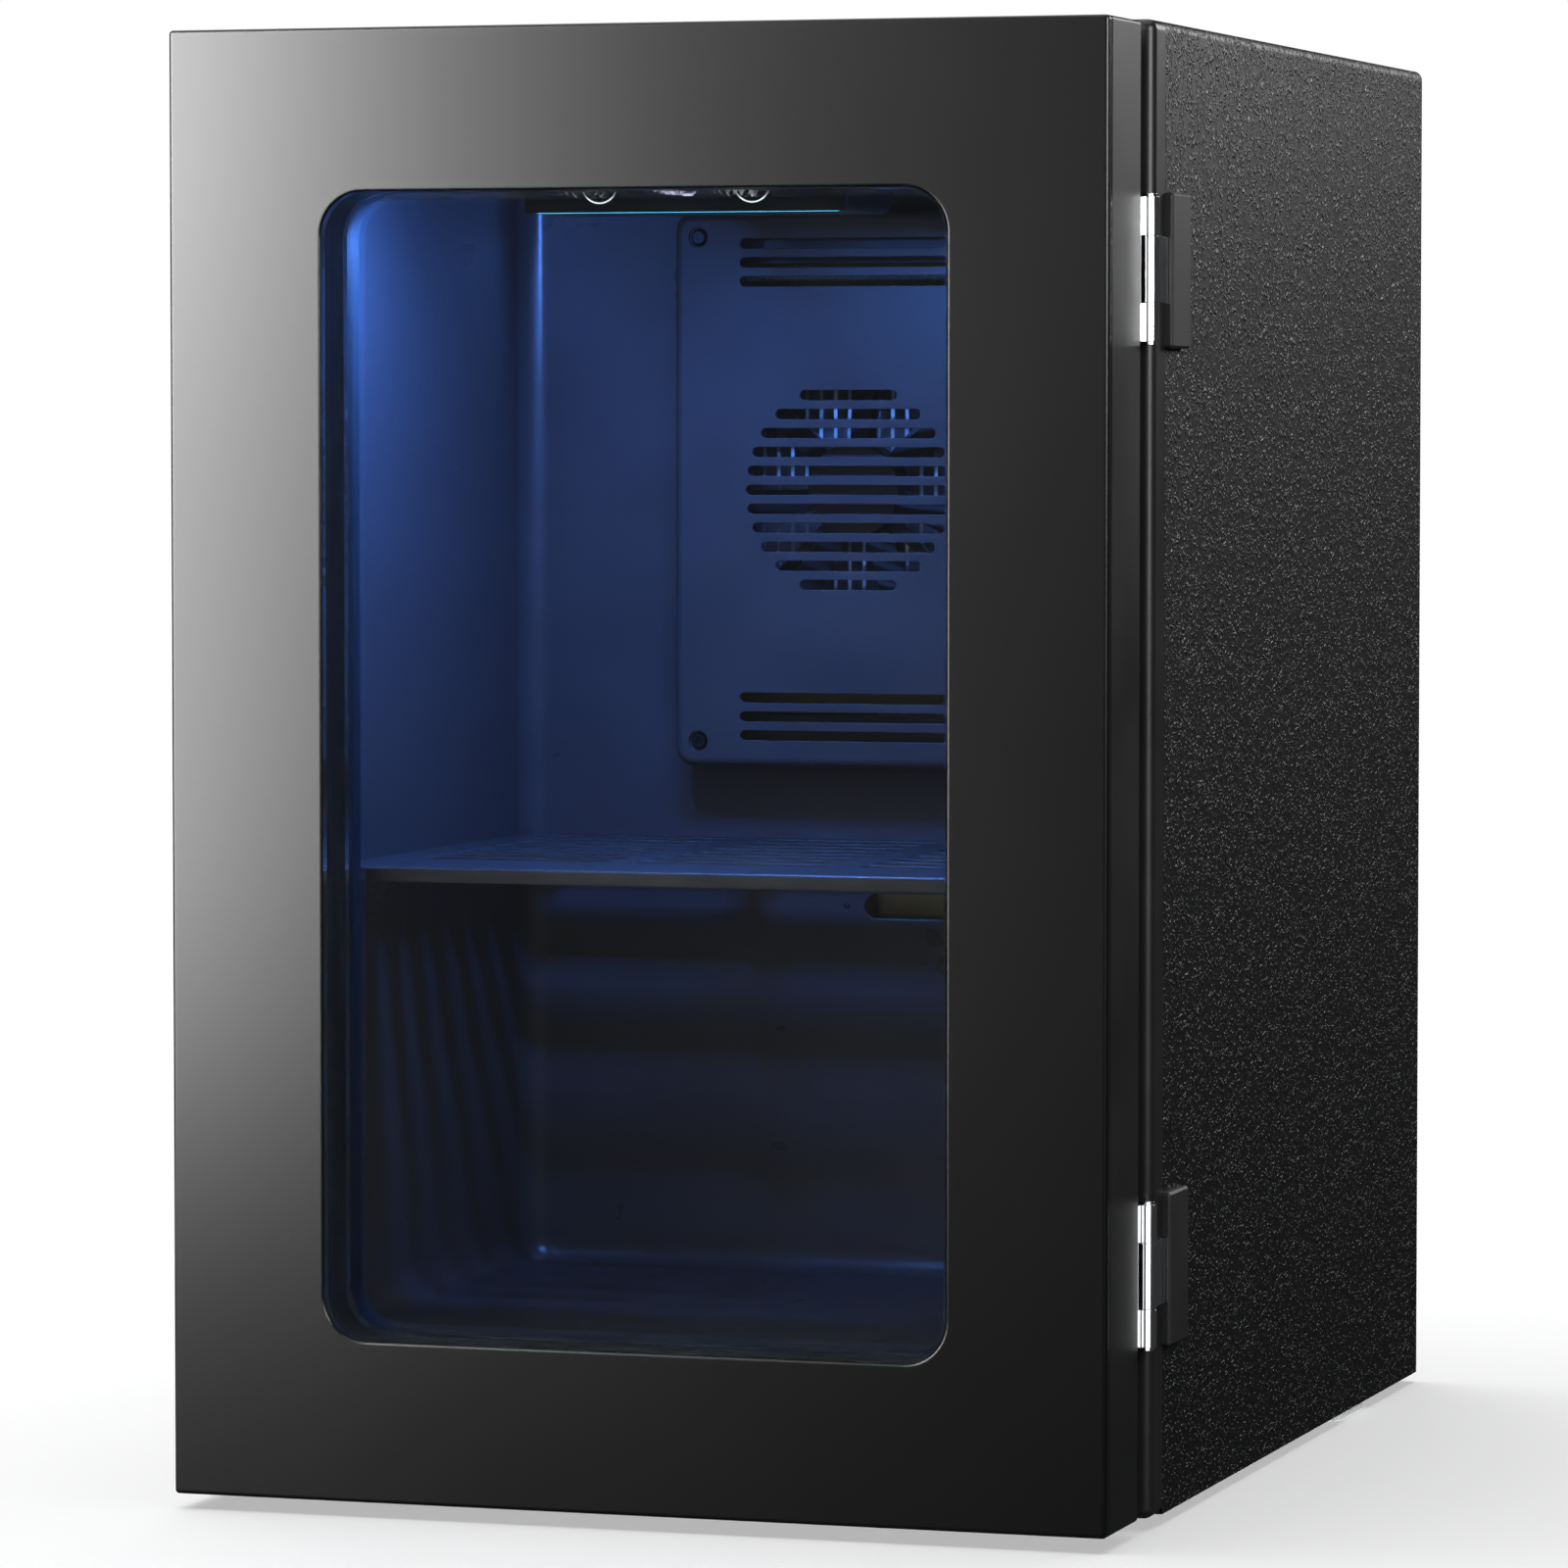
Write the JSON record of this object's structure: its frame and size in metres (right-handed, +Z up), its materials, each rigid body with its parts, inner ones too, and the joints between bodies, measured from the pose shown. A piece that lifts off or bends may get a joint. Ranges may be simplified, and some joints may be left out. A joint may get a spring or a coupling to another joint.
{
  "type": "mini fridge",
  "caption": "Compact thermoelectric drinks fridge with a hinged black door, large double-glazed window, slotted shelf and lit control panel.",
  "frame": {"origin": "on the floor, under the middle of the fridge", "axes": "+X to the right seen from the front, +Y to the back, +Z up; the door faces -Y"},
  "size_m": [0.2911, 0.3929, 0.4376],
  "materials": {
    "frame_plastic": "satin black moulding",
    "grained_skin": "black, leather-grain embossed",
    "dark_steel": "matt black",
    "rear_sheet": "matt black, fine texture",
    "black_screws": "black oxide",
    "foot_silicone": "pale grey, soft",
    "zinc_steel": "zinc plated",
    "liner_plastic": "satin dark grey",
    "foam": "rigid foam",
    "black_plastic": "satin black",
    "shelf_plastic": "satin black",
    "panel_gloss": "gloss black",
    "circuit_board": "solder mask",
    "light_strip": "frosted, lit",
    "sink_aluminium": "extruded",
    "ceramic_white": "fired alumina",
    "seal_rubber": "matt",
    "steel_screws": "zinc plated",
    "wire_sheath": "matt black sheath",
    "hinge_chrome": "polished",
    "door_paint": "satin black",
    "door_plastic": "satin black moulding",
    "clear_pane": "clear",
    "clear_bar": "clear acrylic",
    "clear_seal": "clear silicone",
    "panel_print": "white print",
    "magnet_rubber": "matt"
  },
  "bodies": {
    "cabinet": {"base_panel": "dark_steel", "cabinet_hinge_screws": "steel_screws", "cold_block": "sink_aluminium", "cold_fan_frame": "black_plastic", "cold_fan_screws": "steel_screws", "cold_sink": "sink_aluminium", "control_board": "circuit_board", "control_panel_housing": "black_plastic", "control_panel_lens": "panel_gloss", "display_board": "circuit_board", "duct_cover": "liner_plastic", "duct_cover_screws": "black_screws", "foam_back_plate": "zinc_steel", "foot_front_left": "foot_silicone", "foot_front_right": "foot_silicone", "foot_rear_left": "foot_silicone", "foot_rear_right": "foot_silicone", "front_frame": "frame_plastic", "heat_sink_screws": "steel_screws", "hinge_nut_plates": "zinc_steel", "hinge_pins": "hinge_chrome", "hot_fan_frame": "black_plastic", "hot_fan_screws": "steel_screws", "hot_sink": "sink_aluminium", "inner_liner": "liner_plastic", "insulation_foam": "foam", "led_diffuser": "light_strip", "lower_cabinet_leaf": "hinge_chrome", "lower_hinge_cover": "black_plastic", "module_gasket": "seal_rubber", "outer_wrap": "grained_skin", "power_inlet": "black_plastic", "power_supply_board": "circuit_board", "power_supply_case": "zinc_steel", "rear_cover": "rear_sheet", "rear_cover_screws": "black_screws", "strike_strip": "zinc_steel", "switch_housing": "black_plastic", "temperature_sensor": "black_plastic", "thermoelectric_module": "ceramic_white", "upper_cabinet_leaf": "hinge_chrome", "upper_hinge_cover": "black_plastic", "wiring_harness": "wire_sheath"},
    "door": {"door_front_panel": "door_paint", "door_body": "door_plastic", "door_foam": "foam", "outer_glass": "clear_pane", "inner_glass": "clear_pane", "front_spacer": "clear_bar", "pane_seal": "clear_seal", "rear_retainer": "clear_bar", "door_gasket": "seal_rubber", "gasket_magnets": "magnet_rubber", "upper_door_leaf": "hinge_chrome", "lower_door_leaf": "hinge_chrome", "door_hinge_screws": "steel_screws"},
    "shelf": {"shelf": "shelf_plastic"},
    "cold_rotor": {"cold_fan_rotor": "black_plastic"},
    "hot_rotor": {"hot_fan_rotor": "black_plastic"},
    "rocker": {"rocker_switch": "black_plastic"}
  },
  "joints": [
    {"name": "door_hinge", "type": "hinge", "parent": "cabinet", "child": "door", "pos_m": [0.1442, -0.1545, 0.2205], "axis": [0, 0, 1], "range_deg": [0, 120]},
    {"name": "shelf_slide", "type": "slide", "parent": "cabinet", "child": "shelf", "axis": [0, -1, 0], "range_m": [0, 0.018]},
    {"name": "cold_fan_spin", "type": "hinge", "parent": "cabinet", "child": "cold_rotor", "pos_m": [0, 0.03, 0.3], "axis": [0, 1, 0], "continuous": true},
    {"name": "hot_fan_spin", "type": "hinge", "parent": "cabinet", "child": "hot_rotor", "pos_m": [0, 0.155, 0.3], "axis": [0, 1, 0], "continuous": true},
    {"name": "power_rocker", "type": "hinge", "parent": "cabinet", "child": "rocker", "pos_m": [0.058, 0.19415, 0.05], "axis": [-1, 0, 0], "range_deg": [0, 16]}
  ]
}
